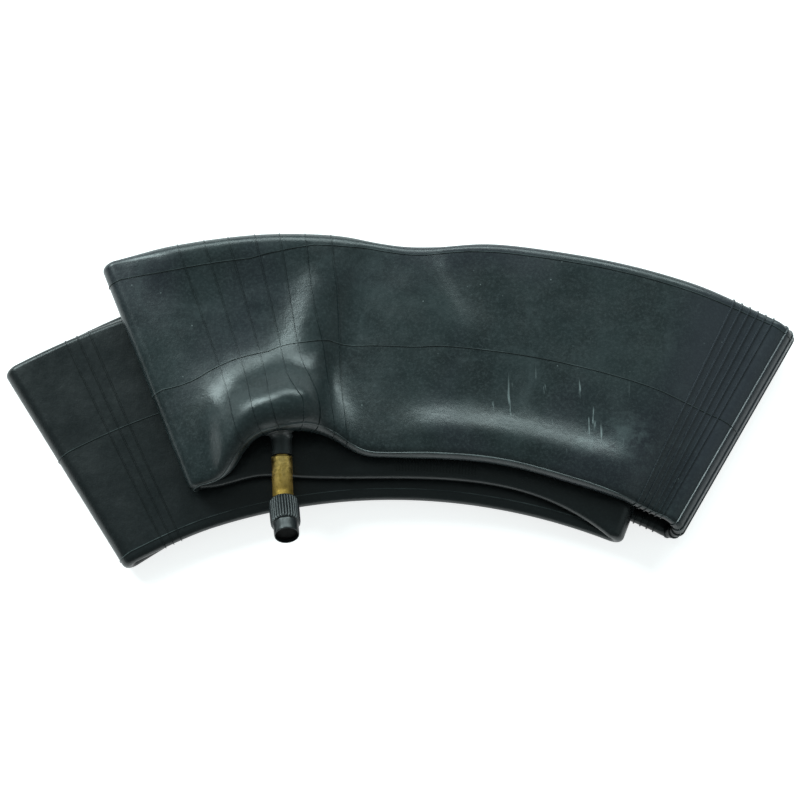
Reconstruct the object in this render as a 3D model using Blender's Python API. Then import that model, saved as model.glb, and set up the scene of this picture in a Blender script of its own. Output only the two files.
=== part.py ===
"""A deflated inner tube folded flat in four layers, with its angled valve, core and dust cap.

The ring of butyl tube lies folded like a ribbon: layer D on the table, C on D, B on C and A on top.
X runs along the packet, +Y points away from the wheel's centre, and Z is up. Lengths are in mm.
"""

import math

import bmesh
import bpy
import numpy as np
from mathutils import Matrix, Vector

MM = 0.001

# The flattened tube: a 3.00/3.50-10 section of 60 mm bore, pressed flat.
WALL = 1.8
HALF_THICK = 2.5
INNER_EDGE = 178.0
OUTER_EDGE = 271.0

# Mid heights of the layers, and of layer A where it has dropped to its fold with layer D.
Z_D, Z_C, Z_B, Z_A = 2.5, 8.5, 14.5, 20.5
Z_A_END = 16.0

# Each fold lies on a line through its own centre (x, y), at an angle from +Y, clockwise, in degrees.
FOLD_A_D = (11.2, -204.9, 30.7)
FOLD_D_C = (-6.6, -216.1, -32.7)
FOLD_C_B = (15.1, -224.2, 21.7)
FOLD_B_A = (-10.9, -199.2, -22.3)
BOW_A, BOW_B, BOW_D = -5.8, -6.0, 0.5
LENGTH_A = 241.0

# How far the rim edge is drawn in at the folds B-A and D-C, and of layer D, and let out along layer B.
CORNER_A_B, CORNER_C_D, CORNER_D = 5.5, 1.0, 3.0
BOW_B_RIM = 7.8

# Stations along each layer and round each fold, and points across the flattened section.
FOLD_STEPS = 6
ACROSS = 8
EDGE_ANGLES = (90.0, 45.0, 0.0, -42.0, -90.0)

# Where the valve stands: its share of layer A's length, and how far under the rim edge, in degrees.
VALVE_AT = 0.189
PAD_DIP = 42.0

# The lip that the valve holds up: half its swelling, its lift, and how far its edge arches out over a reach.
PUFF = 5.2
LIP_RISE = 3.6
ARCH = 9.5
ARCH_REACH = 28.0

# The stem's two legs: headings from -Y towards +X, dip and rise from level, lengths and bend.
VALVE_HEADING = 2.0
TIP_HEADING = 7.0
VALVE_DIP = 8.0
VALVE_RISE = 27.0
LEG = 23.0
BEND_RADIUS = 8.0
TIP_LEG = 14.5

# Radii of the stem's body, thread, root and bore, of the hole in the tube, and of the rubber base.
STEM_RADIUS = 4.0
THREAD_RADIUS = 3.7
ROOT_RADIUS = 2.6
ROOT_LENGTH = 10.8
AIR_BORE = 1.25
TUBE_HOLE = 1.7
PAD_RADIUS = 6.6
PAD_GAP = 0.3
SLEEVE_RADIUS = 3.8
SLEEVE_TOP = 10.3

# The packet's box is centred on the origin by this shift in x and y.
CENTRE_SHIFT = (0.05, 3.60)


def smooth(value, low, high):
    t = np.clip((value - low) / (high - low), 0.0, 1.0)
    return t * t * (3.0 - 2.0 * t)


def bell(value, reach, power=2.0):
    return np.exp(-(np.abs(value / reach) ** power))


def along_a(q):
    """Distance in mm along layer A from its left fold, and 1 where the point belongs to layer A."""
    q = np.mod(q, 8.0)
    return np.clip(q, 0.0, 1.0) * LENGTH_A, np.where(q <= 1.0, 1.0, 0.0)


def edge_shift(q):
    """How far the rim-side and the tread-side edges move in the radial direction."""
    a, on_a = along_a(q)
    q = np.mod(q, 8.0)
    arch = ARCH * bell(a - VALVE_AT * LENGTH_A - 4.0, ARCH_REACH, 4.0) * smooth(a, 2.0, 20.0)
    dent = -6.0 * bell(a - 107.0, 21.0) - 1.5 * bell(a - 78.0, 20.0) - 1.6 * bell(a - 145.0, 30.0)
    corner = CORNER_A_B * near_fold(q, 7.5) + CORNER_C_D * near_fold(q, 3.5)
    corner = corner + CORNER_D * smooth(q, 1.1, 1.9) * smooth(q, 2.45, 2.15)
    leaving = np.clip((q - 6.0) / 0.25, 0.0, 1.0)
    bowed = 1.8 * on_a * bell(a - 152.0, 34.0) + BOW_B_RIM * leaving * (2.0 - leaving) * smooth(q, 6.76, 6.25)
    return on_a * arch + bowed - corner, on_a * dent


def near_fold(q, middle):
    """1 on a fold, falling to 0 a little way along the layers it joins."""
    away = np.abs(np.mod(q - middle + 4.0, 8.0) - 4.0)
    return 1.0 - smooth(away, 0.5, 0.68)


def relief(q, b):
    """How far the upper wall of layer A stands off its flat lie, at b from 0, rim edge, to 1, tread edge."""
    a, on_a = along_a(q)
    lip = 2.0 * PUFF * bell(a - VALVE_AT * LENGTH_A, 30.0) * bell(b, 0.25) * smooth(a, 2.0, 24.0)
    crest = 54.0 + 26.0 * b
    ridge = 3.3 * bell(a - crest, np.where(a < crest, 10.0, 7.5)) * (1.0 - 0.7 * smooth(b, 0.75, 1.0))
    trough = -1.9 * bell(a - crest - 14.0, np.where(a < crest + 14.0, 8.0, 20.0))
    hump = 1.2 * bell(a - 104.0, 20.0) * smooth(b, 0.3, 1.0)
    fold = 120.0 + 28.0 * (1.0 - b)
    nick = -2.0 * bell(a - fold, np.where(a < fold, 6.5, 11.0)) * smooth(b, 0.5, 0.85)
    roll = 3.4 * bell(b - 0.06, 0.11) * smooth(a, 88.0, 122.0) * smooth(a, 234.0, 195.0)
    tread = 3.0 * bell(b - 1.0, 0.14) * smooth(a, 100.0, 60.0)
    ends = smooth(a, 0.0, 22.0) * smooth(a, LENGTH_A, 205.0)
    return on_a * (lip + ends * (2.2 + ridge + trough + hump + nick + roll + tread))


def half_thick(q, b):
    """Half thickness of the flattened tube."""
    return HALF_THICK + 0.5 * relief(q, b)


def lift(q, b):
    """Extra height of layer A's mid surface: its lower wall stays down, but for the lip at the valve."""
    a, on_a = along_a(q)
    rise = bell(a - VALVE_AT * LENGTH_A, 34.0) * bell(b, 0.28) * smooth(a, 2.0, 24.0)
    return 0.5 * relief(q, b) + on_a * LIP_RISE * rise


def fold_frame(fold):
    x, y, angle = fold
    turn = math.radians(angle)
    return np.array([x, y]), turn


def on_panel(t, start, end, radius, bow=0.0):
    """Plan position on a layer between two folds, t running 0 to 1."""
    (c0, a0), (c1, a1) = fold_frame(start), fold_frame(end)
    angle = a0 + (a1 - a0) * t
    x = c0[0] + (c1[0] - c0[0]) * t + radius * np.sin(angle)
    y = c0[1] + (c1[1] - c0[1]) * t + radius * np.cos(angle)
    return x, y + bow * 4.0 * t * (1.0 - t)


def on_fold(t, fold, side, rise, low, radius):
    """Position round a fold: side is +1 on the right, rise is +1 where the ribbon climbs."""
    centre, angle = fold_frame(fold)
    bend = abs(rise) / 2.0
    out = side * bend * np.sin(math.pi * t)
    x = centre[0] + radius * math.sin(angle) + out * math.cos(angle)
    y = centre[1] + radius * math.cos(angle) - out * math.sin(angle)
    z = low + rise / 2.0 * (1.0 - np.cos(math.pi * t))
    return x, y, z


def past_fold(x, y):
    """Distance in mm beyond the fold that joins layers C and B, over which layer A comes down."""
    centre, angle = fold_frame(FOLD_C_B)
    return (x - centre[0]) * math.cos(angle) - (y - centre[1]) * math.sin(angle)


def mid_point(q, radius, b):
    """Mid surface of the folded ribbon. q runs 0 to 8 round the ring."""
    q = np.mod(np.asarray(q, float), 8.0)
    piece = np.floor(q).astype(int)
    t = q - piece
    xa, ya = on_panel(t, FOLD_B_A, FOLD_A_D, radius, BOW_A)
    past = past_fold(xa, ya) / past_fold(*on_panel(1.0, FOLD_B_A, FOLD_A_D, radius, BOW_A))
    za = Z_A - (Z_A - Z_A_END) * smooth(past, -0.2, 1.0)
    xd, yd = on_panel(t, FOLD_A_D, FOLD_D_C, radius, BOW_D)
    xc, yc = on_panel(t, FOLD_D_C, FOLD_C_B, radius)
    xb, yb = on_panel(t, FOLD_C_B, FOLD_B_A, radius, BOW_B)
    flat = np.ones_like(xa)
    pieces = [
        (xa, ya, za + lift(t * 0.999999, b)),
        on_fold(t, FOLD_A_D, 1.0, Z_D - Z_A_END, Z_A_END, radius),
        (xd, yd, Z_D * flat),
        on_fold(t, FOLD_D_C, -1.0, Z_C - Z_D, Z_D, radius),
        (xc, yc, Z_C * flat),
        on_fold(t, FOLD_C_B, 1.0, Z_B - Z_C, Z_C, radius),
        (xb, yb, Z_B * flat),
        on_fold(t, FOLD_B_A, -1.0, Z_A - Z_B, Z_B, radius),
    ]
    choices = [piece == k for k in range(8)]
    return np.stack([np.select(choices, [p[axis] for p in pieces]) for axis in range(3)], -1)


def section(q, u, inset):
    """Radius, share across and height of a point on the flattened section.

    u runs 0 to 1 over the upper face from tread edge to rim edge, 1 to 2 round the rim edge,
    2 to 3 back over the lower face and 3 to 4 round the tread edge.
    """
    q, u = np.broadcast_arrays(np.asarray(q, float), np.asarray(u, float))
    u = np.mod(u, 4.0)
    rim_shift, tread_shift = edge_shift(q)
    rim_half = half_thick(q, np.zeros_like(q)) - inset
    tread_half = half_thick(q, np.ones_like(q)) - inset
    low = INNER_EDGE + inset + rim_half
    high = OUTER_EDGE - inset - tread_half
    side = np.floor(u).astype(int)
    t = u - side
    turn = np.pi * t
    b = np.select([side == 0, side == 1, side == 2, side == 3], [1.0 - t, 0.0 * t, t, 1.0 + 0.0 * t])
    radius = low + (high - low) * b + rim_shift * (1.0 - b) ** 2.5 + tread_shift * b**2
    radius = radius - np.where(side == 1, rim_half * np.sin(turn), 0.0)
    radius = radius + np.where(side == 3, tread_half * np.sin(turn), 0.0)
    half = half_thick(q, b) - inset
    height = np.select(
        [side == 0, side == 1, side == 2, side == 3],
        [half, rim_half * np.cos(turn), -half, -tread_half * np.cos(turn)],
    )
    return radius, b, height


def surface(q, u, inset=0.0):
    """Points of the tube's surface, outer for inset 0 and inner for inset WALL."""
    radius, b, height = section(q, u, inset)
    q = np.broadcast_to(np.asarray(q, float), radius.shape)
    step = 1e-3
    along = mid_point(q + step, radius, b) - mid_point(q - step, radius, b)
    across = mid_point(q, radius + 0.05, b) - mid_point(q, radius - 0.05, b)
    normal = np.cross(along, across)
    normal = normal / np.linalg.norm(normal, axis=-1, keepdims=True)
    points = mid_point(q, radius, b) + normal * height[..., None]
    points[..., 0] += CENTRE_SHIFT[0]
    points[..., 1] += CENTRE_SHIFT[1]
    return points


def ring_stations():
    """Stations q round the ring, closer together at the folds and the valve."""
    layer_a = np.concatenate(
        [
            np.linspace(0.0, 0.12, 4)[:-1],
            VALVE_AT + np.array([-0.055, -0.035, -0.014, 0.0, 0.014, 0.035, 0.06]),
            np.linspace(0.28, 1.0, 24)[:-1],
        ]
    )
    fold = np.linspace(0.0, 1.0, FOLD_STEPS + 1)[:-1]
    plain = np.linspace(0.0, 1.0, 15)[:-1]
    rows = [layer_a]
    for start in range(1, 8):
        rows.append(start + (fold if start % 2 else plain))
    return np.concatenate(rows)


def section_stations():
    """Stations u across the flattened section, with one at the valve's height on the rim edge."""
    face = np.linspace(0.0, 1.0, ACROSS + 1)[:-1]
    turn = (90.0 - np.array(EDGE_ANGLES[:-1])) / 180.0
    return np.concatenate([face, 1.0 + turn, 2.0 + face, 3.0 + turn])


def valve_u():
    return 1.0 + (90.0 + PAD_DIP) / 180.0


def edge_girth():
    """Length in mm of the half circle round the rim edge at the valve."""
    return math.pi * (HALF_THICK + PUFF)


def round_valve(radius, turn):
    """q and u of a point at a radius in mm and an angle round the valve, measured on the tube's surface."""
    probe = surface(np.array([VALVE_AT - 0.01, VALVE_AT + 0.01]), np.full(2, valve_u()))
    per_q = np.linalg.norm(probe[1] - probe[0]) / 0.02
    q = VALVE_AT + radius * np.cos(turn) / per_q
    arc = radius * np.sin(turn)
    return q, valve_u() + arc / edge_girth()


def new_mesh(name, points, faces, material):
    """A mesh object from points in mm, turned so that its faces look outwards."""
    mesh = bpy.data.meshes.new(name)
    mesh.from_pydata([tuple(float(c) * MM for c in p) for p in points], [], faces)
    work = bmesh.new()
    work.from_mesh(mesh)
    bmesh.ops.recalc_face_normals(work, faces=work.faces)
    if work.calc_volume(signed=True) < 0:
        bmesh.ops.reverse_faces(work, faces=work.faces)
    work.to_mesh(mesh)
    work.free()
    obj = bpy.data.objects.new(name, mesh)
    bpy.context.collection.objects.link(obj)
    mesh.materials.append(material)
    return obj


def shade_round(obj, angle=40.0):
    obj.data.shade_smooth()
    obj.data.set_sharp_from_angle(angle=math.radians(angle))


def principled(name, colour, metallic, roughness):
    material = bpy.data.materials.new(name)
    material.use_nodes = True
    shader = material.node_tree.nodes["Principled BSDF"]
    shader.inputs["Base Color"].default_value = (*colour, 1.0)
    shader.inputs["Metallic"].default_value = metallic
    shader.inputs["Roughness"].default_value = roughness
    return material


def build_tube(material):
    """The folded tube: an outer and an inner skin, joined round the air hole under the valve."""
    q = ring_stations()
    u = section_stations()
    rows, columns = len(q), len(u)
    at_q = int(np.argmin(np.abs(q - VALVE_AT)))
    at_u = int(np.argmin(np.abs(u - valve_u())))
    q_grid, u_grid = np.meshgrid(q, u, indexing="ij")
    rim = [(-1, -1), (-1, 0), (-1, 1), (0, 1), (1, 1), (1, 0), (1, -1), (0, -1)]
    for row, column in rim:
        turn = math.atan2(column, row)
        place = round_valve(TUBE_HOLE, turn)
        q_grid[at_q + row, at_u + column], u_grid[at_q + row, at_u + column] = place
    outer = surface(q_grid, u_grid).reshape(-1, 3)
    inner = surface(q_grid, u_grid, WALL).reshape(-1, 3)
    count = rows * columns

    def index(row, column):
        return (row % rows) * columns + column % columns

    faces = []
    for row in range(rows):
        for column in range(columns):
            if row - at_q in (-1, 0) and column - at_u in (-1, 0):
                continue
            quad = [
                index(row, column),
                index(row + 1, column),
                index(row + 1, column + 1),
                index(row, column + 1),
            ]
            faces.append(quad)
            faces.append([count + k for k in reversed(quad)])
    loop = [index(at_q + row, at_u + column) for row, column in rim]
    for k, here in enumerate(loop):
        there = loop[(k + 1) % len(loop)]
        faces.append([here, there, count + there, count + here])
    centre = index(at_q, at_u)
    keep = [k for k in range(2 * count) if k not in (centre, count + centre)]
    renumber = {old: new for new, old in enumerate(keep)}
    points = np.concatenate([outer, inner])[keep]
    faces = [[renumber[k] for k in face] for face in faces]
    obj = new_mesh("tube_body", points, faces, material)
    obj.data.shade_smooth()
    return obj


def unit(vector):
    return np.asarray(vector, float) / np.linalg.norm(vector)


def leg_direction(heading, rise):
    """Unit vector at a heading from -Y towards +X and a rise from level, both in degrees."""
    heading, rise = math.radians(heading), math.radians(rise)
    plan = np.array([math.sin(heading), -math.cos(heading), 0.0])
    return plan * math.cos(rise) + np.array([0.0, 0.0, math.sin(rise)])


def valve_path():
    """Foot of the stem on the tube, the directions of its two legs, and the bend's plane."""
    foot = surface(np.array([VALVE_AT]), np.array([valve_u()]))[0]
    first, second = leg_direction(VALVE_HEADING, -VALVE_DIP), leg_direction(TIP_HEADING, VALVE_RISE)
    return foot, first, second, unit(np.cross(first, second))


def on_stem(distance):
    """Point and direction on the stem's centre line, at a distance in mm from its foot."""
    foot, first, second, _ = valve_path()
    bend = math.acos(float(first @ second))
    arc = bend * BEND_RADIUS
    inward = unit(second - first * float(first @ second))
    if distance <= LEG:
        return foot + first * distance, first
    part = min(distance - LEG, arc) / BEND_RADIUS
    start = foot + first * LEG
    point = start + BEND_RADIUS * (first * math.sin(part) + inward * (1.0 - math.cos(part)))
    direction = first * math.cos(part) + inward * math.sin(part)
    return point + direction * max(0.0, distance - LEG - arc), direction


def stem_length():
    _, first, second, _ = valve_path()
    return LEG + math.acos(float(first @ second)) * BEND_RADIUS + TIP_LEG


def ring_on_stem(distance, radius, segments=32, flutes=0.0):
    """A circle of points round the stem; flutes makes every other point lie that much deeper."""
    centre, direction = on_stem(distance)
    side = valve_path()[3]
    up = unit(np.cross(side, direction))
    points = []
    for k in range(segments):
        turn = 2.0 * math.pi * k / segments
        reach = radius - (flutes if k % 2 else 0.0)
        points.append(centre + reach * (side * math.cos(turn) + up * math.sin(turn)))
    return points


def lofted(name, rings, material, joined=False):
    """A closed solid through equal rings: joined makes it a torus, otherwise its ends are capped."""
    size = len(rings[0])
    points = [point for ring in rings for point in ring]
    faces = []
    for row in range(len(rings) if joined else len(rings) - 1):
        here, there = row * size, (row + 1) % len(rings) * size
        for k in range(size):
            faces.append([here + k, here + (k + 1) % size, there + (k + 1) % size, there + k])
    if not joined:
        faces.append(list(range(size)))
        faces.append([len(points) - size + k for k in range(size)])
    obj = new_mesh(name, points, faces, material)
    shade_round(obj)
    return obj


def turned(name, profile, material, hollow=False, segments=32):
    """A turned piece on the outer leg. The profile is (height above the stem's tip, radius)."""
    tip = stem_length()
    rings = [ring_on_stem(tip + height, radius, segments) for height, radius in profile]
    return lofted(name, rings, material, joined=hollow)


def build_valve_base(material):
    """Rubber pad wrapped onto the rim side of the tube, with the sleeve that holds the stem's root."""
    segments = 32
    turns = [2.0 * math.pi * k / segments for k in range(segments)]

    def pad_ring(radius, height):
        places = [round_valve(radius, turn) for turn in turns]
        q = np.array([place[0] for place in places])
        u = np.array([place[1] for place in places])
        return list(surface(q, u, -height))

    foot, first, _, _ = valve_path()
    along = surface(np.array([VALVE_AT + 0.01]), np.array([valve_u()]))[0] - foot
    along = unit(along - first * float(along @ first))
    around = surface(np.array([VALVE_AT]), np.array([valve_u() + 0.05]))[0] - foot
    across = np.cross(first, along)
    across = across * math.copysign(1.0, float(across @ around))

    def sleeve_ring(distance, radius):
        centre = foot + first * distance
        return [centre + radius * (along * math.cos(t) + across * math.sin(t)) for t in turns]

    rings = [
        pad_ring(2.2, PAD_GAP),
        pad_ring(3.6, PAD_GAP),
        pad_ring(5.2, PAD_GAP),
        pad_ring(PAD_RADIUS, PAD_GAP),
        pad_ring(PAD_RADIUS, PAD_GAP + 0.4),
        pad_ring(PAD_RADIUS - 0.7, PAD_GAP + 0.7),
        pad_ring(5.1, PAD_GAP + 1.0),
        sleeve_ring(3.4, 4.4),
        sleeve_ring(4.2, SLEEVE_RADIUS),
        sleeve_ring(SLEEVE_TOP - 0.6, SLEEVE_RADIUS),
        sleeve_ring(SLEEVE_TOP, SLEEVE_RADIUS - 0.6),
        sleeve_ring(SLEEVE_TOP, ROOT_RADIUS + 0.2),
        sleeve_ring(2.6, ROOT_RADIUS + 0.2),
    ]
    return lofted("valve_base", rings, material, joined=True)


def build_stem(material):
    """Bent brass stem: root, round body, threaded tip leg, and a stepped bore for the core."""
    tip = stem_length()
    bend_end = tip - TIP_LEG
    outside = [(2.4, ROOT_RADIUS), (ROOT_LENGTH, ROOT_RADIUS), (ROOT_LENGTH + 0.4, STEM_RADIUS)]
    outside += [(LEG + (bend_end - LEG) * k / 6.0, STEM_RADIUS) for k in range(7)]
    outside += [(tip - 12.0, STEM_RADIUS), (tip - 11.5, THREAD_RADIUS)]
    outside += [(tip - 0.6, THREAD_RADIUS), (tip, THREAD_RADIUS - 0.5)]
    bore = [(tip, 2.8), (tip - 6.0, 2.8), (tip - 8.0, 2.1), (tip - 14.4, 2.1), (tip - 15.0, AIR_BORE)]
    bore += [(LEG + (bend_end - LEG) * k / 6.0, AIR_BORE) for k in range(5, -1, -1)]
    bore += [(2.4, AIR_BORE)]
    rings = [ring_on_stem(distance, radius) for distance, radius in outside + bore]
    return lofted("valve_stem", rings, material, joined=True)


def build_core(brass, steel, rubber):
    """The valve core in the tip leg: heights are above the stem's tip."""
    plug = [(-5.5, 1.0), (-5.5, 2.6), (-1.6, 2.6), (-1.4, 1.7), (-0.6, 1.7), (-0.6, 1.0)]
    turned("core_plug", plug, brass, hollow=True)
    barrel = [(-5.8, 0.7), (-5.8, 1.75), (-11.3, 1.75), (-11.6, 1.4), (-11.6, 0.7)]
    barrel += [(-10.9, 0.7), (-10.9, 1.2), (-6.6, 1.2), (-6.6, 0.7)]
    turned("core_barrel", barrel, brass, hollow=True)
    washer = [(-8.2, 1.85), (-6.2, 1.85), (-6.2, 2.55), (-8.2, 2.0)]
    turned("core_washer", washer, rubber, hollow=True)
    pin = [(-0.4, 0.3), (-0.6, 0.45), (-7.2, 0.45), (-7.2, 1.0), (-7.7, 1.0), (-7.7, 0.45), (-12.9, 0.45)]
    turned("core_pin", pin, steel, segments=20)
    seal = [(-12.5, 0.55), (-11.8, 0.55), (-11.8, 1.3), (-12.5, 1.3)]
    turned("cup_seal", seal, rubber, hollow=True)
    cup = [(-12.8, 0.55), (-12.8, 1.6), (-12.2, 1.6), (-12.2, 1.4), (-12.6, 1.4), (-12.6, 0.55)]
    turned("core_cup", cup, brass, hollow=True)


def build_spring(material):
    """Return spring round the pin, between its collar and the barrel's floor."""
    _, _, direction, side = valve_path()
    up = unit(np.cross(side, direction))
    tip = on_stem(stem_length())[0]
    wire, coil, turns, steps = 0.12, 0.85, 4.5, 14
    low, high = -10.7, -7.9
    rings = []
    for k in range(int(turns * steps) + 1):
        part = k / (turns * steps)
        turn = 2.0 * math.pi * turns * part
        out = side * math.cos(turn) + up * math.sin(turn)
        centre = tip + direction * (low + (high - low) * part) + out * coil
        ring = []
        for corner in range(6):
            lean = 2.0 * math.pi * corner / 6.0
            ring.append(centre + wire * (out * math.cos(lean) + direction * math.sin(lean)))
        rings.append(ring)
    lofted("core_spring", rings, material)


def build_cap(plastic, rubber):
    """Fluted dust cap with a smaller recessed nose, and the gasket inside its end."""
    tip = stem_length()

    def fluted(height, radius, depth=0.0):
        return ring_on_stem(tip + height, radius, 48, depth)

    rings = [
        fluted(1.4, 4.1),
        fluted(-12.9, 4.1),
        fluted(-12.9, 5.3),
        fluted(-12.5, 5.75, 0.3),
        fluted(-2.2, 5.75, 0.3),
        fluted(-1.7, 5.3),
        fluted(-1.4, 4.85),
        fluted(3.1, 4.85),
        fluted(3.5, 4.6),
        fluted(3.5, 4.25),
        fluted(2.1, 4.25),
    ]
    cap = lofted("valve_cap", rings, plastic)
    gasket = turned("cap_gasket", [(0.15, 3.7), (1.2, 3.7)], rubber)
    return cap, gasket


def move_origin(obj, place):
    """Puts the object's own origin at a point in mm without moving its surface."""
    offset = Vector([float(c) * MM for c in place])
    obj.data.transform(Matrix.Translation(-offset))
    obj.location = offset


def main():
    for obj in list(bpy.data.objects):
        bpy.data.objects.remove(obj)
    butyl = principled("butyl_rubber", (0.035, 0.045, 0.047), 0.0, 0.42)
    pad_rubber = principled("pad_rubber", (0.03, 0.035, 0.037), 0.0, 0.5)
    brass = principled("brass", (0.62, 0.44, 0.17), 1.0, 0.35)
    core_brass = principled("core_brass", (0.66, 0.50, 0.24), 1.0, 0.3)
    steel = principled("pin_steel", (0.55, 0.55, 0.53), 1.0, 0.3)
    spring_steel = principled("spring_steel", (0.5, 0.5, 0.5), 1.0, 0.3)
    seal_rubber = principled("seal_rubber", (0.03, 0.03, 0.03), 0.0, 0.6)
    plastic = principled("cap_plastic", (0.03, 0.035, 0.04), 0.0, 0.4)
    gasket_rubber = principled("gasket_rubber", (0.05, 0.05, 0.05), 0.0, 0.6)
    build_tube(butyl)
    build_valve_base(pad_rubber)
    build_stem(brass)
    build_core(core_brass, steel, seal_rubber)
    build_spring(spring_steel)
    build_cap(plastic, gasket_rubber)
    tip = on_stem(stem_length())[0]
    for name in ("valve_cap", "cap_gasket", "core_pin", "core_cup", "cup_seal"):
        move_origin(bpy.data.objects[name], tip)


main()
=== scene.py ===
"""Visual model of a deflated, folded inner tube with its valve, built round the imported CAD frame.

Lengths in the shape functions are in mm, and every mesh is made in metres.
"""

import math

import bmesh
import bpy
import numpy as np
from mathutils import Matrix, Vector


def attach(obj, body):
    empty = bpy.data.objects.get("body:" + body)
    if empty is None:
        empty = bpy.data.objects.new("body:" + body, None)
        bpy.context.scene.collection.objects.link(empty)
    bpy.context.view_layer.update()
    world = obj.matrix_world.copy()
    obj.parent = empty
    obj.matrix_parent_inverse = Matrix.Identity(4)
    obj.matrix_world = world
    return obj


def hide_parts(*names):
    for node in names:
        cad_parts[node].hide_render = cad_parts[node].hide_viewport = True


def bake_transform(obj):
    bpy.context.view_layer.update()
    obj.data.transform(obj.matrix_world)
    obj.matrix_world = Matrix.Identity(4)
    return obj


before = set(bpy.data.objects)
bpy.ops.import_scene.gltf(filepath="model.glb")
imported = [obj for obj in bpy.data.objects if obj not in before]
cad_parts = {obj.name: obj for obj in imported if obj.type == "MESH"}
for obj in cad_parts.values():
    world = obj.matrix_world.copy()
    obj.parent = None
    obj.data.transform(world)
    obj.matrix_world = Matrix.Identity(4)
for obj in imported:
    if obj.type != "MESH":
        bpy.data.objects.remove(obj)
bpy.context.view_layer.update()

MM = 0.001

# The flattened tube: a 3.00/3.50-10 section of about 61 mm, pressed flat to 93 mm between its edges.
HALF_THICK = 2.5
INNER_EDGE = 178.0
OUTER_EDGE = 271.0

# Mid heights of the layers, and of layer A where it has dropped to its fold with layer D.
Z_D, Z_C, Z_B, Z_A = 2.5, 8.5, 14.5, 20.5
Z_A_END = 16.0

# Each fold lies on a line through its own centre (x, y), at an angle from +Y, clockwise, in degrees.
FOLD_A_D = (11.2, -204.9, 30.7)
FOLD_D_C = (-6.6, -216.1, -32.7)
FOLD_C_B = (15.1, -224.2, 21.7)
FOLD_B_A = (-10.9, -199.2, -22.3)
BOW_A, BOW_B, BOW_D = -5.8, -6.0, 0.5
LENGTH_A = 241.0

# How far the rim edge is drawn in at the folds B-A and D-C, and of layer D, and let out along layer B.
CORNER_A_B, CORNER_C_D, CORNER_D = 5.5, 1.0, 3.0
BOW_B_RIM = 7.8

# Dents in layer A's tread edge: depth, place along the layer and reach.
EDGE_DENTS = ((-6.0, 107.0, 21.0), (-1.5, 78.0, 20.0), (-1.6, 145.0, 30.0))

# Where the valve stands: its share of layer A's length, and how far under the rim edge, in degrees.
VALVE_AT = 0.189
PAD_DIP = 42.0

# The lip that the valve holds up: half its swelling, its lift, and how far its edge arches out over a reach.
PUFF = 5.2
LIP_RISE = 3.6
ARCH = 9.5
ARCH_REACH = 28.0

# The stem's two legs: headings from -Y towards +X, dip and rise from level, lengths and bend.
VALVE_HEADING = 2.0
TIP_HEADING = 7.0
VALVE_DIP = 8.0
VALVE_RISE = 27.0
LEG = 23.0
BEND_RADIUS = 8.0
TIP_LEG = 14.5

# Radii of the stem's body, thread, root and bore and of the pad, and where the root and the sleeve end.
STEM_RADIUS = 4.0
THREAD_RADIUS = 3.7
ROOT_RADIUS = 2.6
ROOT_LENGTH = 10.8
AIR_BORE = 1.25
PAD_RADIUS = 6.6
SLEEVE_TOP = 10.3

# The packet's box is centred on the origin by this shift in x and y.
CENTRE_SHIFT = (0.05, 3.60)


def smooth(value, low, high):
    t = np.clip((value - low) / (high - low), 0.0, 1.0)
    return t * t * (3.0 - 2.0 * t)


def bell(value, reach, power=2.0):
    return np.exp(-(np.abs(value / reach) ** power))


def along_a(q):
    """Distance in mm along layer A from its left fold, and 1 where the point belongs to layer A."""
    q = np.mod(q, 8.0)
    return np.clip(q, 0.0, 1.0) * LENGTH_A, np.where(q <= 1.0, 1.0, 0.0)


def edge_shift(q):
    """How far the rim-side and the tread-side edges move in the radial direction."""
    a, on_a = along_a(q)
    q = np.mod(q, 8.0)
    arch = ARCH * bell(a - VALVE_AT * LENGTH_A - 4.0, ARCH_REACH, 4.0) * smooth(a, 2.0, 20.0)
    dent = sum(depth * bell(a - place, reach) for depth, place, reach in EDGE_DENTS)
    corner = CORNER_A_B * near_fold(q, 7.5) + CORNER_C_D * near_fold(q, 3.5)
    corner = corner + CORNER_D * smooth(q, 1.1, 1.9) * smooth(q, 2.45, 2.15)
    leaving = np.clip((q - 6.0) / 0.25, 0.0, 1.0)
    bowed = 1.8 * on_a * bell(a - 152.0, 34.0) + BOW_B_RIM * leaving * (2.0 - leaving) * smooth(q, 6.76, 6.25)
    return on_a * arch + bowed - corner, on_a * dent


def near_fold(q, middle):
    """1 on a fold, falling to 0 a little way along the layers it joins."""
    away = np.abs(np.mod(q - middle + 4.0, 8.0) - 4.0)
    return 1.0 - smooth(away, 0.5, 0.68)


def relief(q, b):
    """How far the upper wall of layer A stands off its flat lie, at b from 0, rim edge, to 1, tread edge."""
    a, on_a = along_a(q)
    lip = 2.0 * PUFF * bell(a - VALVE_AT * LENGTH_A, 30.0) * bell(b, 0.25) * smooth(a, 2.0, 24.0)
    crest = 54.0 + 26.0 * b
    ridge = 3.3 * bell(a - crest, np.where(a < crest, 10.0, 7.5)) * (1.0 - 0.7 * smooth(b, 0.75, 1.0))
    trough = -1.9 * bell(a - crest - 14.0, np.where(a < crest + 14.0, 8.0, 20.0))
    hump = 1.2 * bell(a - 104.0, 20.0) * smooth(b, 0.3, 1.0)
    fold = 120.0 + 28.0 * (1.0 - b)
    nick = -2.0 * bell(a - fold, np.where(a < fold, 6.5, 11.0)) * smooth(b, 0.5, 0.85)
    roll = 3.4 * bell(b - 0.06, 0.11) * smooth(a, 88.0, 122.0) * smooth(a, 234.0, 195.0)
    tread = 3.0 * bell(b - 1.0, 0.14) * smooth(a, 100.0, 60.0)
    ends = smooth(a, 0.0, 22.0) * smooth(a, LENGTH_A, 205.0)
    return on_a * (lip + ends * (2.2 + ridge + trough + hump + nick + roll + tread))


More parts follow.
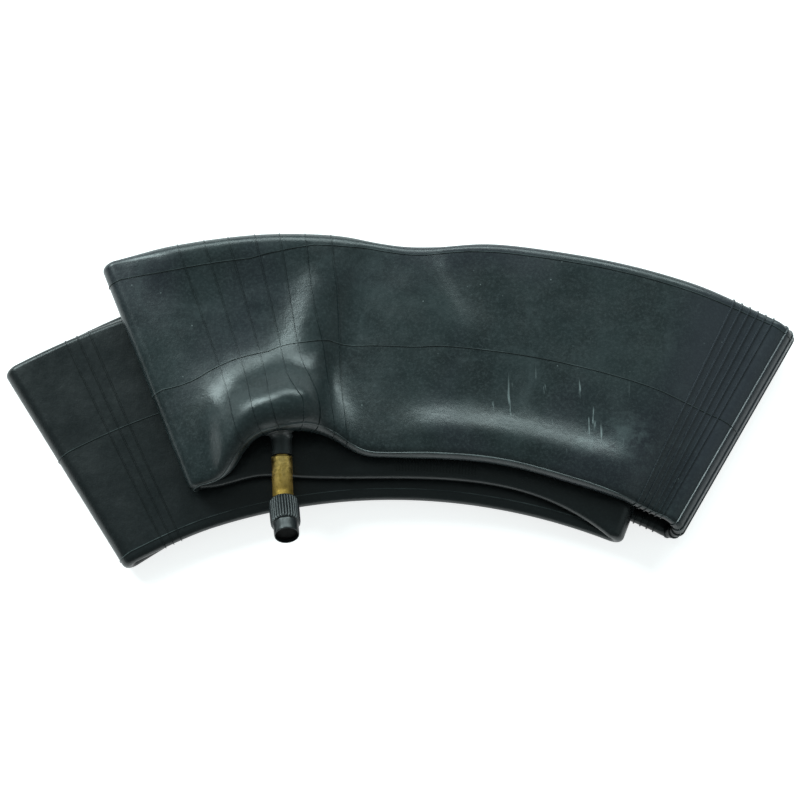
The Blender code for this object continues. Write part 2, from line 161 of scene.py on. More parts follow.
def half_thick(q, b):
    """Half thickness of the flattened tube."""
    return HALF_THICK + 0.5 * relief(q, b)


def lift(q, b):
    """Extra height of layer A's mid surface: its lower wall stays down, but for the lip at the valve."""
    a, on_a = along_a(q)
    rise = bell(a - VALVE_AT * LENGTH_A, 34.0) * bell(b, 0.28) * smooth(a, 2.0, 24.0)
    return 0.5 * relief(q, b) + on_a * LIP_RISE * rise


def fold_frame(fold):
    x, y, angle = fold
    turn = math.radians(angle)
    return np.array([x, y]), turn


def on_panel(t, start, end, radius, bow=0.0):
    """Plan position on a layer between two folds, t running 0 to 1."""
    (c0, a0), (c1, a1) = fold_frame(start), fold_frame(end)
    angle = a0 + (a1 - a0) * t
    x = c0[0] + (c1[0] - c0[0]) * t + radius * np.sin(angle)
    y = c0[1] + (c1[1] - c0[1]) * t + radius * np.cos(angle)
    return x, y + bow * 4.0 * t * (1.0 - t)


def on_fold(t, fold, side, rise, low, radius):
    """Position round a fold: side is +1 on the right, rise is +1 where the ribbon climbs."""
    centre, angle = fold_frame(fold)
    bend = abs(rise) / 2.0
    out = side * bend * np.sin(math.pi * t)
    x = centre[0] + radius * math.sin(angle) + out * math.cos(angle)
    y = centre[1] + radius * math.cos(angle) - out * math.sin(angle)
    z = low + rise / 2.0 * (1.0 - np.cos(math.pi * t))
    return x, y, z


def past_fold(x, y):
    """Distance in mm beyond the fold that joins layers C and B, over which layer A comes down."""
    centre, angle = fold_frame(FOLD_C_B)
    return (x - centre[0]) * math.cos(angle) - (y - centre[1]) * math.sin(angle)


def mid_point(q, radius, b):
    """Mid surface of the folded ribbon. q runs 0 to 8 round the ring."""
    q = np.mod(np.asarray(q, float), 8.0)
    piece = np.floor(q).astype(int)
    t = q - piece
    xa, ya = on_panel(t, FOLD_B_A, FOLD_A_D, radius, BOW_A)
    past = past_fold(xa, ya) / past_fold(*on_panel(1.0, FOLD_B_A, FOLD_A_D, radius, BOW_A))
    za = Z_A - (Z_A - Z_A_END) * smooth(past, -0.2, 1.0)
    xd, yd = on_panel(t, FOLD_A_D, FOLD_D_C, radius, BOW_D)
    xc, yc = on_panel(t, FOLD_D_C, FOLD_C_B, radius)
    xb, yb = on_panel(t, FOLD_C_B, FOLD_B_A, radius, BOW_B)
    flat = np.ones_like(xa)
    pieces = [
        (xa, ya, za + lift(t * 0.999999, b)),
        on_fold(t, FOLD_A_D, 1.0, Z_D - Z_A_END, Z_A_END, radius),
        (xd, yd, Z_D * flat),
        on_fold(t, FOLD_D_C, -1.0, Z_C - Z_D, Z_D, radius),
        (xc, yc, Z_C * flat),
        on_fold(t, FOLD_C_B, 1.0, Z_B - Z_C, Z_C, radius),
        (xb, yb, Z_B * flat),
        on_fold(t, FOLD_B_A, -1.0, Z_A - Z_B, Z_B, radius),
    ]
    choices = [piece == k for k in range(8)]
    return np.stack([np.select(choices, [p[axis] for p in pieces]) for axis in range(3)], -1)


def section(q, u, inset):
    """Radius, share across and height of a point on the flattened section.

    u runs 0 to 1 over the upper face from tread edge to rim edge, 1 to 2 round the rim edge,
    2 to 3 back over the lower face and 3 to 4 round the tread edge.
    """
    q, u = np.broadcast_arrays(np.asarray(q, float), np.asarray(u, float))
    u = np.mod(u, 4.0)
    rim_shift, tread_shift = edge_shift(q)
    rim_half = half_thick(q, np.zeros_like(q)) - inset
    tread_half = half_thick(q, np.ones_like(q)) - inset
    low = INNER_EDGE + inset + rim_half
    high = OUTER_EDGE - inset - tread_half
    side = np.floor(u).astype(int)
    t = u - side
    turn = np.pi * t
    b = np.select([side == 0, side == 1, side == 2, side == 3], [1.0 - t, 0.0 * t, t, 1.0 + 0.0 * t])
    radius = low + (high - low) * b + rim_shift * (1.0 - b) ** 2.5 + tread_shift * b**2
    radius = radius - np.where(side == 1, rim_half * np.sin(turn), 0.0)
    radius = radius + np.where(side == 3, tread_half * np.sin(turn), 0.0)
    half = half_thick(q, b) - inset
    height = np.select(
        [side == 0, side == 1, side == 2, side == 3],
        [half, rim_half * np.cos(turn), -half, -tread_half * np.cos(turn)],
    )
    return radius, b, height


def surface(q, u, inset=0.0):
    """Points of the tube's outer surface, sunk by an inset, or standing off it where that is negative."""
    radius, b, height = section(q, u, inset)
    q = np.broadcast_to(np.asarray(q, float), radius.shape)
    step = 1e-3
    along = mid_point(q + step, radius, b) - mid_point(q - step, radius, b)
    across = mid_point(q, radius + 0.05, b) - mid_point(q, radius - 0.05, b)
    normal = np.cross(along, across)
    normal = normal / np.linalg.norm(normal, axis=-1, keepdims=True)
    points = mid_point(q, radius, b) + normal * height[..., None]
    points[..., 0] += CENTRE_SHIFT[0]
    points[..., 1] += CENTRE_SHIFT[1]
    return points


def valve_u():
    return 1.0 + (90.0 + PAD_DIP) / 180.0


def edge_girth():
    """Length in mm of the half circle round the rim edge at the valve."""
    return math.pi * (HALF_THICK + PUFF)


def round_valve(radius, turn):
    """q and u of a point at a radius in mm and an angle round the valve, measured on the tube's surface."""
    probe = surface(np.array([VALVE_AT - 0.01, VALVE_AT + 0.01]), np.full(2, valve_u()))
    per_q = np.linalg.norm(probe[1] - probe[0]) / 0.02
    q = VALVE_AT + radius * np.cos(turn) / per_q
    arc = radius * np.sin(turn)
    return q, valve_u() + arc / edge_girth()


def unit(vector):
    return np.asarray(vector, float) / np.linalg.norm(vector)


def leg_direction(heading, rise):
    """Unit vector at a heading from -Y towards +X and a rise from level, both in degrees."""
    heading, rise = math.radians(heading), math.radians(rise)
    plan = np.array([math.sin(heading), -math.cos(heading), 0.0])
    return plan * math.cos(rise) + np.array([0.0, 0.0, math.sin(rise)])


def valve_path():
    """Foot of the stem on the tube, the directions of its two legs, and the bend's plane."""
    foot = surface(np.array([VALVE_AT]), np.array([valve_u()]))[0]
    first, second = leg_direction(VALVE_HEADING, -VALVE_DIP), leg_direction(TIP_HEADING, VALVE_RISE)
    return foot, first, second, unit(np.cross(first, second))


def on_stem(distance):
    """Point and direction on the stem's centre line, at a distance in mm from its foot."""
    foot, first, second, _ = valve_path()
    bend = math.acos(float(first @ second))
    arc = bend * BEND_RADIUS
    inward = unit(second - first * float(first @ second))
    if distance <= LEG:
        return foot + first * distance, first
    part = min(distance - LEG, arc) / BEND_RADIUS
    start = foot + first * LEG
    point = start + BEND_RADIUS * (first * math.sin(part) + inward * (1.0 - math.cos(part)))
    direction = first * math.cos(part) + inward * math.sin(part)
    return point + direction * max(0.0, distance - LEG - arc), direction


def stem_length():
    _, first, second, _ = valve_path()
    return LEG + math.acos(float(first @ second)) * BEND_RADIUS + TIP_LEG


# ---------------------------------------------------------------- meshes


def mesh_piece(name, points, faces, material, body, sharp=None):
    """A piece from points in mm, with its faces turned outwards, riding on a body if one is named."""
    mesh = bpy.data.meshes.new(name)
    mesh.from_pydata([tuple(float(c) * MM for c in p) for p in points], [], faces)
    work = bmesh.new()
    work.from_mesh(mesh)
    bmesh.ops.recalc_face_normals(work, faces=work.faces)
    if work.calc_volume(signed=True) < 0:
        bmesh.ops.reverse_faces(work, faces=work.faces)
    work.to_mesh(mesh)
    work.free()
    mesh.shade_smooth()
    if sharp:
        mesh.set_sharp_from_angle(angle=math.radians(sharp))
    obj = bpy.data.objects.new(name, mesh)
    bpy.context.collection.objects.link(obj)
    mesh.materials.append(material)
    if body:
        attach(obj, body)
    return obj


def loft_faces(rows, columns, start=0, loop_rows=False, caps=False):
    """Faces of a grid of rings, each ring closed; caps fills the first and the last ring."""
    faces = []
    for row in range(rows if loop_rows else rows - 1):
        here, there = start + row * columns, start + (row + 1) % rows * columns
        for k in range(columns):
            after = (k + 1) % columns
            faces.append((here + k, here + after, there + after, there + k))
    if caps:
        faces.append(tuple(range(start, start + columns)))
        last = start + (rows - 1) * columns
        faces.append(tuple(range(last, last + columns)))
    return faces


def loft(name, rings, material, body, joined=False, sharp=35.0):
    points = np.concatenate([np.asarray(ring) for ring in rings])
    faces = loft_faces(len(rings), len(rings[0]), 0, joined, not joined)
    return mesh_piece(name, points, faces, material, body, sharp)


# ---------------------------------------------------------------- materials


class Nodes:
    """Small helper for wiring one material's nodes."""

    def __init__(self, name, metallic=0.0, roughness=0.5):
        self.material = bpy.data.materials.new(name)
        self.material.use_nodes = True
        self.tree = self.material.node_tree
        self.shader = self.tree.nodes["Principled BSDF"]
        self.shader.inputs["Metallic"].default_value = metallic
        self.shader.inputs["Roughness"].default_value = roughness
        self.place = self.add("ShaderNodeTexCoord").outputs["Object"]

    def add(self, kind, **settings):
        node = self.tree.nodes.new(kind)
        for key, value in settings.items():
            setattr(node, key, value)
        return node

    def link(self, source, target):
        self.tree.links.new(source, target)

    def mapped(self, scale, rotation):
        node = self.add("ShaderNodeMapping")
        node.inputs["Scale"].default_value = scale
        node.inputs["Rotation"].default_value = rotation
        self.link(self.place, node.inputs["Vector"])
        return node.outputs["Vector"]

    def noise(self, scale, detail=3.0, rough=0.5, vector=None, distortion=0.0):
        node = self.add("ShaderNodeTexNoise")
        node.inputs["Scale"].default_value = scale
        node.inputs["Detail"].default_value = detail
        node.inputs["Roughness"].default_value = rough
        node.inputs["Distortion"].default_value = distortion
        self.link(vector or self.place, node.inputs["Vector"])
        return node.outputs["Fac"]

    def remap(self, value, low, high, to_low=0.0, to_high=1.0):
        node = self.add("ShaderNodeMapRange")
        node.inputs["From Min"].default_value = low
        node.inputs["From Max"].default_value = high
        node.inputs["To Min"].default_value = to_low
        node.inputs["To Max"].default_value = to_high
        self.link(value, node.inputs["Value"])
        return node.outputs["Result"]

    def math(self, operation, first, second):
        node = self.add("ShaderNodeMath", operation=operation)
        for socket, value in zip(node.inputs, (first, second)):
            if isinstance(value, (int, float)):
                socket.default_value = value
            else:
                self.link(value, socket)
        return node.outputs[0]

    def mix(self, share, first, second):
        """Blend of two colours, each a tuple or a socket, by a share socket."""
        node = self.add("ShaderNodeMix", data_type="RGBA")
        self.link(share, node.inputs["Factor"])
        for socket, value in zip((node.inputs[6], node.inputs[7]), (first, second)):
            if isinstance(value, tuple):
                socket.default_value = (*value, 1.0)
            else:
                self.link(value, socket)
        return node.outputs[2]

    def near(self, centre, reach):
        """1 at a point in metres, falling to 0 at a reach given for each axis."""
        node = self.add("ShaderNodeMapping", vector_type="TEXTURE")
        node.inputs["Location"].default_value = centre
        node.inputs["Scale"].default_value = reach
        self.link(self.place, node.inputs["Vector"])
        length = self.add("ShaderNodeVectorMath", operation="LENGTH")
        self.link(node.outputs["Vector"], length.inputs[0])
        return self.remap(length.outputs["Value"], 0.55, 1.0, 1.0, 0.0)

    def shaded_layers(self):
        """1 on the lower layers, 0 on the top one, which comes down beyond the right-hand fold: the mask of
        the painted shade.
        """
        parts = self.add("ShaderNodeSeparateXYZ")
        self.link(self.place, parts.inputs[0])
        limit = self.remap(parts.outputs["X"], 0.095, 0.115, 0.0183, 0.0083)
        return self.remap(self.math("SUBTRACT", limit, parts.outputs["Z"]), -0.0007, 0.0007)

    def bump(self, height, strength, distance, under=None):
        node = self.add("ShaderNodeBump")
        node.inputs["Strength"].default_value = strength
        node.inputs["Distance"].default_value = distance
        self.link(height, node.inputs["Height"])
        if under:
            self.link(under, node.inputs["Normal"])
        return node.outputs["Normal"]

    def colour(self, source):
        self.link(source, self.shader.inputs["Base Color"])

    def roughness(self, source):
        self.link(source, self.shader.inputs["Roughness"])

    def normal(self, source):
        self.link(source, self.shader.inputs["Normal"])


# Colours of the butyl skin, in linear RGB.
SKIN_DARK = (0.0052, 0.0096, 0.0102)
SKIN_TEAL = (0.0155, 0.0235, 0.0245)
SKIN_VIOLET = (0.0135, 0.0150, 0.0205)
SKIN_BLOOM = (0.040, 0.052, 0.054)
SKIN_GRIT = (0.040, 0.050, 0.052)
SKIN_SCUFF = (0.16, 0.19, 0.19)
# Pale smeary patch, which also serves as a painted highlight near layer A's rim edge.
SKIN_SMEAR_HIGHLIGHT = (0.12, 0.15, 0.15)
SKIN_DUST = (0.22, 0.25, 0.25)
# Painted sheen: a lighter violet tone for the right-hand fold.
SKIN_VIOLET_SHEEN = (0.034, 0.037, 0.046)
# Painted shade: the much darker skin of the lower layers, and the grit on it.
SHADED_LAYER_DARK = (0.0036, 0.0054, 0.0060)
SHADED_LAYER_GRIT = (0.022, 0.029, 0.030)

# Centre and reach in metres of the scuffed patch, of the pale smeary patch that is also a painted highlight,
# and of the painted violet sheen near the right-hand fold.
SCUFFED_PATCH = ((0.062, -0.009, 0.023), (0.036, 0.022, 0.05))
SMEAR_HIGHLIGHT_PATCH = ((0.082, -0.018, 0.022), (0.022, 0.011, 0.05))
VIOLET_SHEEN_PATCH = ((0.136, 0.004, 0.020), (0.036, 0.070, 0.060))


def butyl():
    """Moulded butyl: dark with a teal cast, cloudy bloom, pale dust, short scratches and a fine grain;
    painted shade darkens the lower layers, a painted violet sheen lightens the right-hand fold, and a pale
    smeary patch doubles as a painted highlight.
    """
    n = Nodes("butyl_rubber_skin")
    clouds = n.remap(n.noise(42.0, 6.0, 0.66, distortion=0.3), 0.36, 0.66)
    base = n.mix(clouds, SKIN_DARK, SKIN_TEAL)
    violet = n.remap(n.noise(13.0, 2.0, 0.5, distortion=0.5), 0.50, 0.64, 0.0, 0.75)
    base = n.mix(violet, base, SKIN_VIOLET)
    bloom = n.remap(n.noise(31.0, 5.0, 0.65, distortion=1.5), 0.58, 0.78, 0.0, 0.55)
    base = n.mix(bloom, base, SKIN_BLOOM)
    grit = n.remap(n.noise(900.0, 3.0, 0.75), 0.46, 0.74, 0.0, 0.60)
    base = n.mix(grit, base, SKIN_GRIT)
    strokes = n.noise(1.0, 3.0, 0.55, n.mapped((560.0, 62.0, 100.0), (0.0, 0.0, 0.12)), 0.3)
    scuffed = n.near(*SCUFFED_PATCH)
    scuffs = n.math("MULTIPLY", n.remap(strokes, 0.66, 0.72), scuffed)
    base = n.mix(n.math("MULTIPLY", scuffs, 0.8), base, SKIN_SCUFF)
    # A pale, cloudy smeary patch near layer A's rim edge, which also paints in a highlight there.
    cloud = n.remap(n.noise(110.0, 5.0, 0.7), 0.44, 0.62, 0.0, 0.30)
    smear_highlight = n.math("MULTIPLY", n.near(*SMEAR_HIGHLIGHT_PATCH), cloud)
    base = n.mix(smear_highlight, base, SKIN_SMEAR_HIGHLIGHT)
    specks = n.add("ShaderNodeTexVoronoi")
    specks.inputs["Scale"].default_value = 230.0
    n.link(n.place, specks.inputs["Vector"])
    dots = n.remap(specks.outputs["Distance"], 0.035, 0.075, 1.0, 0.0)
    dust = n.math("MULTIPLY", dots, n.remap(n.noise(60.0, 2.0), 0.50, 0.62))
    base = n.mix(n.math("MULTIPLY", dust, 0.6), base, SKIN_DUST)
    # Painted violet sheen, lightening the skin near the right-hand fold.
    violet_sheen = n.near(*VIOLET_SHEEN_PATCH)
    base = n.mix(n.math("MULTIPLY", violet_sheen, 0.5), base, SKIN_VIOLET_SHEEN)
    # Painted shade: the lower layers take a much darker skin, flecked with a little grit.
    painted_shade = n.shaded_layers()
    shaded_skin = n.mix(n.math("MULTIPLY", grit, 0.4), SHADED_LAYER_DARK, SHADED_LAYER_GRIT)
    n.colour(n.mix(painted_shade, base, shaded_skin))
    n.shader.inputs["Specular IOR Level"].default_value = 0.42
    gloss = n.remap(n.noise(70.0, 5.0, 0.65), 0.32, 0.68, 0.26, 0.40)
    n.roughness(n.math("ADD", gloss, n.math("MULTIPLY", scuffs, 0.2)))
    grain = n.bump(n.noise(2100.0, 2.0), 0.16, 0.0002)
    n.normal(n.bump(n.noise(150.0, 4.0, 0.55), 0.16, 0.0012, grain))
    return n.material


def highlit_seam_rubber():
    """The raised flash lines, paler than the skin in patches: a painted highlight standing in for their lit
    sides.
    """
    n = Nodes("butyl_seam_painted_highlight", 0.0, 0.36)
    # Painted highlight: the lines run from dark to pale in patches.
    seam_highlight = n.remap(n.noise(90.0, 4.0, 0.6), 0.35, 0.65)
    n.colour(n.mix(seam_highlight, (0.012, 0.017, 0.018), (0.060, 0.074, 0.075)))
    return n.material


def pad_rubber():
    n = Nodes("valve_pad_rubber")
    mottle = n.remap(n.noise(420.0, 4.0, 0.6), 0.35, 0.7)
    n.colour(n.mix(mottle, (0.008, 0.010, 0.011), (0.020, 0.025, 0.026)))
    n.roughness(n.remap(n.noise(300.0, 3.0), 0.3, 0.7, 0.34, 0.5))
    n.normal(n.bump(n.noise(2600.0, 2.0), 0.15, 0.0002))
    return n.material


def brass(name, light, dark, rough, tip_tarnish_and_shade=False):
    """Turned brass, tarnished: brown blotches, lighter abraded spots and fine lathe lines, and on the stem a
    darker, duller cap end that is partly tarnishing and partly painted shade.
    """
    n = Nodes(name, 1.0, rough)
    blotch = n.remap(n.noise(380.0, 6.0, 0.7, distortion=0.3), 0.38, 0.62)
    base = n.mix(blotch, light, dark)
    spots = n.remap(n.noise(1500.0, 4.0, 0.6), 0.60, 0.72, 0.0, 0.8)
    base = n.mix(spots, base, tuple(0.35 * c for c in dark))
    dull = n.remap(n.noise(700.0, 4.0), 0.3, 0.7, rough - 0.06, rough + 0.16)
    if tip_tarnish_and_shade:
        # Painted shade, with some tarnishing: darker and duller towards the cap end, dimming a reflection in
        # the bend.
        parts = n.add("ShaderNodeSeparateXYZ")
        n.link(n.place, parts.inputs[0])
        height = n.math("ADD", parts.outputs["Y"], n.math("MULTIPLY", blotch, 0.004))
        tarnish_and_shade = n.remap(height, -0.037, -0.029, 0.95, 0.0)
        base = n.mix(tarnish_and_shade, base, tuple(0.5 * c for c in dark))
        dull = n.math("ADD", dull, n.math("MULTIPLY", tarnish_and_shade, 0.28))
    n.colour(base)
    n.roughness(dull)
    n.normal(n.bump(n.noise(1200.0, 3.0, 0.6), 0.12, 0.0002))
    return n.material


def plastic(name, colour, rough, sheen=0.4):
    n = Nodes(name, 0.0, rough)
    n.shader.inputs["Specular IOR Level"].default_value = sheen
    shade = n.remap(n.noise(300.0, 4.0, 0.6), 0.35, 0.7)
    n.colour(n.mix(shade, colour, tuple(1.35 * c for c in colour)))
    n.roughness(n.remap(n.noise(900.0, 3.0), 0.3, 0.7, rough - 0.05, rough + 0.08))
    n.normal(n.bump(n.noise(3200.0, 2.0), 0.10, 0.0001))
    return n.material


def steel(name):
    n = Nodes(name, 1.0, 0.28)
    shade = n.remap(n.noise(900.0, 3.0), 0.3, 0.7)
    n.colour(n.mix(shade, (0.62, 0.62, 0.60), (0.46, 0.46, 0.45)))
    n.roughness(n.remap(n.noise(1500.0, 3.0), 0.3, 0.7, 0.22, 0.38))
    return n.material


# ---------------------------------------------------------------- the folded tube

# Mesh steps round an edge and across a face of the section, along layers A, D, C and B, and round a fold.
EDGE_STEPS = 14
FACE_STEPS = 36
LAYER_STEPS = (200, 50, 84, 66)
BEND_STEPS = 28

# Lengths round the flattened section of one face and of one edge.
FACE_LENGTH = OUTER_EDGE - INNER_EDGE - 2.0 * HALF_THICK
EDGE_LENGTH = math.pi * HALF_THICK

# How far the foot of a rib or of a flash line is sunk into the skin.
RIB_SINK = 0.25

# Ribs near the valve, by distance along layer A and lean, and the pitch of those at the right and on layer C.
VALVE_RIBS = ((26.4, -4.0), (36.0, -4.0), (44.6, -4.0), (54.1, -4.0), (61.5, -2.0), (70.2, -1.5), (77.4, 1.5))
FOLD_RIB_PITCH = 3.2
LAYER_C_RIB_PITCH = 4.4

# Fine ribs on layer B: the first one's q, their step in q, their number, and their stretch in u.
SHORT_RIB_START = 6.335
SHORT_RIB_STEP = 0.0072
SHORT_RIBS = 26
SHORT_RIB_STRETCH = (2.0, 2.35)


def skin_q():
    rows = []
    for piece in range(8):
        steps = BEND_STEPS if piece % 2 else LAYER_STEPS[piece // 2]
        rows.append(piece + np.arange(steps) / steps)
    return np.concatenate(rows)


def skin_u():
    face, edge = np.arange(FACE_STEPS) / FACE_STEPS, np.arange(EDGE_STEPS) / EDGE_STEPS
    return np.concatenate([face, 1.0 + edge, 2.0 + face, 3.0 + edge])


def u_at(girth):
    """u of a point, by its distance in mm round the flattened section from the tread edge."""
    girth = np.mod(girth, 2.0 * (FACE_LENGTH + EDGE_LENGTH))
    marks = np.cumsum([0.0, FACE_LENGTH, EDGE_LENGTH, FACE_LENGTH, EDGE_LENGTH])
    return np.interp(girth, marks, np.arange(5.0))


def tube_skin(material):
    q, u = skin_q(), skin_u()
    q_grid, u_grid = np.meshgrid(q, u, indexing="ij")
    points = surface(q_grid, u_grid).reshape(-1, 3)
    faces = loft_faces(len(q), len(u), 0, loop_rows=True)
    piece = mesh_piece("tube_skin", points, faces, material, "tube")
    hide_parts("tube_body")


def per_q(q):
    """Length in mm of one unit of q at mid width."""
    radius = np.array([0.5 * (INNER_EDGE + OUTER_EDGE)])
    middle = np.array([0.5])
    step = 0.002
    here = mid_point(np.array([q - step]), radius, middle)
    there = mid_point(np.array([q + step]), radius, middle)
    return float(np.linalg.norm(there - here)) / (2.0 * step)


def rib_rings(q, height, width, lean=0.0, low_u=0.0, high_u=4.0):
    """A thin moulded fin across the section at q: right round it, or along a part of its face."""
    u = skin_u()
    if high_u - low_u < 4.0:
        u = np.linspace(low_u, high_u, 25)
    tread_share = np.interp(u, np.arange(5.0), (1.0, 0.0, 0.0, 1.0, 1.0))
    half = 0.5 * width / per_q(q)
    middle = q + lean * (tread_share - 0.4) / per_q(q)
    profile = [(-half, -RIB_SINK), (-0.45 * half, height), (0.45 * half, height), (half, -RIB_SINK)]
    corners = [surface(middle + dq, u, -rise) for dq, rise in profile]
    return np.stack(corners, 1)


def rib_places():
    """(q, height, width, lean) of every rib that runs right round the tube."""
    mm = 1.0 / LENGTH_A
    places = []
    for a, lean in VALVE_RIBS:
        places.append((a * mm, 0.38, 0.5, lean))
    for k in range(6):
        places.append((1.0 - (1.5 + FOLD_RIB_PITCH * k) * mm, 0.48, 0.9, 0.0))
    bend = 1.0 / per_q(1.5)
    for k in range(5):
        places.append((1.5 + (k - 2) * FOLD_RIB_PITCH * bend, 0.45, 1.0, 0.0))
    for k in range(5):
        places.append((2.0 + (1.6 + FOLD_RIB_PITCH * k) * mm, 0.5, 1.2, 0.0))
    for k in range(3):
        places.append((4.0 + (17.5 + LAYER_C_RIB_PITCH * k) * mm, 0.45, 0.7, 3.0))
    return places


def short_ribs():
    """(q, height, width) of the fine ribs on the rim side of layer B's exposed strip."""
    return [(SHORT_RIB_START + SHORT_RIB_STEP * k, 0.30, 0.45) for k in range(SHORT_RIBS)]


def mould_ribs(material):
    points, faces = [], []
    for q, height, width, lean in rib_places():
        rings = rib_rings(q, height, width, lean)
        faces += loft_faces(len(rings), 4, sum(len(p) for p in points), loop_rows=True)
        points.append(rings.reshape(-1, 3))
    for q, height, width in short_ribs():
        rings = rib_rings(q, height, width, 0.0, *SHORT_RIB_STRETCH)
        faces += loft_faces(len(rings), 4, sum(len(p) for p in points), caps=True)
        points.append(rings.reshape(-1, 3))
    piece = mesh_piece("mould_ribs", np.concatenate(points), faces, material, "tube", 50.0)


# Flash lines: half width at foot and top, height, and each line's girth in mm at stations of q.
SEAM_FOOT, SEAM_TOP, SEAM_HEIGHT = 0.3, 0.12, 0.28
SEAM_Q = (0.0, 0.2, 0.3, 2.5, 3.5, 6.2, 7.4, 8.0)
SEAMS = (
    (6.5, 6.5, 0.8, 0.8, -8.0, -8.0, 6.5, 6.5),
    (53.5, 53.5, 45.0, 45.0, 40.0, 40.0, 53.5, 53.5),
    (91.0, 91.0, 90.0, 90.0, 86.5, 86.5, 91.0, 91.0),
    (140.0, 140.0, 138.0, 138.0, 134.0, 134.0, 140.0, 140.0),
)


def mould_seams(material):
    """Four flash lines along the tube."""
    q = skin_q()
    half = [(-SEAM_FOOT, -RIB_SINK), (-SEAM_TOP, SEAM_HEIGHT)]
    profile = half + [(-shift, rise) for shift, rise in reversed(half)]
    points, faces = [], []
    for marks in SEAMS:
        line = np.interp(q, SEAM_Q, marks)
        corners = [surface(q, u_at(line + shift), -rise) for shift, rise in profile]
        faces += loft_faces(len(q), 4, sum(len(p) for p in points), loop_rows=True)
        points.append(np.stack(corners, 1).reshape(-1, 3))
    piece = mesh_piece("mould_seams", np.concatenate(points), faces, material, "tube", 50.0)


# ---------------------------------------------------------------- the valve

# The valve thread, 32 to the inch: pitch, step from ring to ring, and crests and roots on stem and cap.
PITCH = 0.794
THREAD_STEP = PITCH / 7.0
STEM_CREST, STEM_ROOT = 3.85, 3.4
CAP_CREST, CAP_ROOT = 3.93, 4.1

# Points round a ring, and the cap's flutes.
SEGMENTS = 64
FLUTES = 30

# The stem's lip, mouth and core seat: distance from its tip, and radius.
STEM_MOUTH = (
    (-0.5, 3.4),
    (-0.05, 3.15),
    (0.0, 3.0),
    (0.0, 2.8),
    (-0.3, 2.7),
    (-6.0, 2.7),
    (-8.0, 2.1),
    (-14.4, 2.1),
    (-15.0, AIR_BORE),
)


def circle(distance, radius, segments=SEGMENTS):
    """Points round the stem's centre line; radius is one number or one per point."""
    centre, direction = on_stem(distance)
    side = valve_path()[3]
    up = unit(np.cross(side, direction))
    turn = 2.0 * math.pi * np.arange(segments) / segments
    radius = np.broadcast_to(np.asarray(radius, float), turn.shape)[:, None]
    return centre + radius * (side * np.cos(turn)[:, None] + up * np.sin(turn)[:, None])


def thread_ring(distance, crest, root, segments):
    """A ring of a screw thread: the radius rises and falls once each pitch, one turn ahead per pitch."""
    turn = np.arange(segments) / segments
    place = np.mod(distance / PITCH - turn, 1.0)
    wave = np.clip(1.6 * (1.0 - np.abs(2.0 * place - 1.0)) - 0.3, 0.0, 1.0)
    return circle(distance, root + (crest - root) * wave, segments)


def valve_stem(material):
    tip = stem_length()
    bend_end = tip - TIP_LEG
    rings = [circle(2.4, ROOT_RADIUS), circle(ROOT_LENGTH, ROOT_RADIUS)]
    rings += [circle(ROOT_LENGTH + 0.05, STEM_RADIUS - 0.25), circle(ROOT_LENGTH + 0.3, STEM_RADIUS)]
    rings += [circle(d, STEM_RADIUS) for d in np.linspace(ROOT_LENGTH + 1.0, LEG, 6)]
    rings += [circle(d, STEM_RADIUS) for d in np.linspace(LEG, bend_end, 14)[1:]]
    rings += [circle(tip - 12.0, STEM_RADIUS), circle(tip - 11.7, THREAD_RADIUS - 0.15)]
    for d in np.arange(tip - 11.5, tip - 0.7, THREAD_STEP):
        rings.append(thread_ring(d, STEM_CREST, STEM_ROOT, SEGMENTS))
    rings += [circle(tip + height, radius) for height, radius in STEM_MOUTH]
    rings += [circle(d, AIR_BORE) for d in np.linspace(bend_end - 1.0, LEG, 10)]
    rings += [circle(2.4, AIR_BORE)]
    piece = loft("stem_brass", rings, material, "tube", joined=True)
    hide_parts("valve_stem")


def valve_pad(material):
    """Pad vulcanised round the lip of the tube, rising into the sleeve round the stem's root."""
    turns = 2.0 * np.pi * np.arange(SEGMENTS) / SEGMENTS
    foot, first, _, _ = valve_path()
    along = surface(np.array([VALVE_AT + 0.01]), np.array([valve_u()]))[0] - foot
    along = unit(along - first * float(along @ first))
    around = surface(np.array([VALVE_AT]), np.array([valve_u() + 0.05]))[0] - foot
    across = np.cross(first, along)
    across = across * math.copysign(1.0, float(across @ around))

    def pad_ring(radius, height):
        q, u = round_valve(radius, turns)
        return surface(q, u, -height)

    def sleeve_ring(distance, radius):
        centre = foot + first * distance
        return centre + radius * (along * np.cos(turns)[:, None] + across * np.sin(turns)[:, None])

    gap = 0.15
    rings = [pad_ring(2.3, 0.2), pad_ring(3.6, 0.05), pad_ring(5.2, -0.05), pad_ring(PAD_RADIUS, -0.1)]
    rings += [pad_ring(PAD_RADIUS, 0.3), pad_ring(PAD_RADIUS - 0.3, 0.5), pad_ring(PAD_RADIUS - 0.8, 0.6)]
    rings += [pad_ring(5.4, 0.8), pad_ring(5.0, 1.3)]
    rings += [sleeve_ring(3.3, 4.6), sleeve_ring(3.8, 4.25), sleeve_ring(4.5, 4.1)]
    rings += [sleeve_ring(5.4, 4.0), sleeve_ring(SLEEVE_TOP - 0.7, 3.95)]
    rings += [sleeve_ring(SLEEVE_TOP - 0.25, 3.8), sleeve_ring(SLEEVE_TOP, 3.45)]
    rings += [sleeve_ring(SLEEVE_TOP, ROOT_RADIUS + gap), sleeve_ring(2.6, ROOT_RADIUS + gap)]
    piece = loft("pad_and_sleeve", rings, material, "tube", joined=True)
    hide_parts("valve_base")


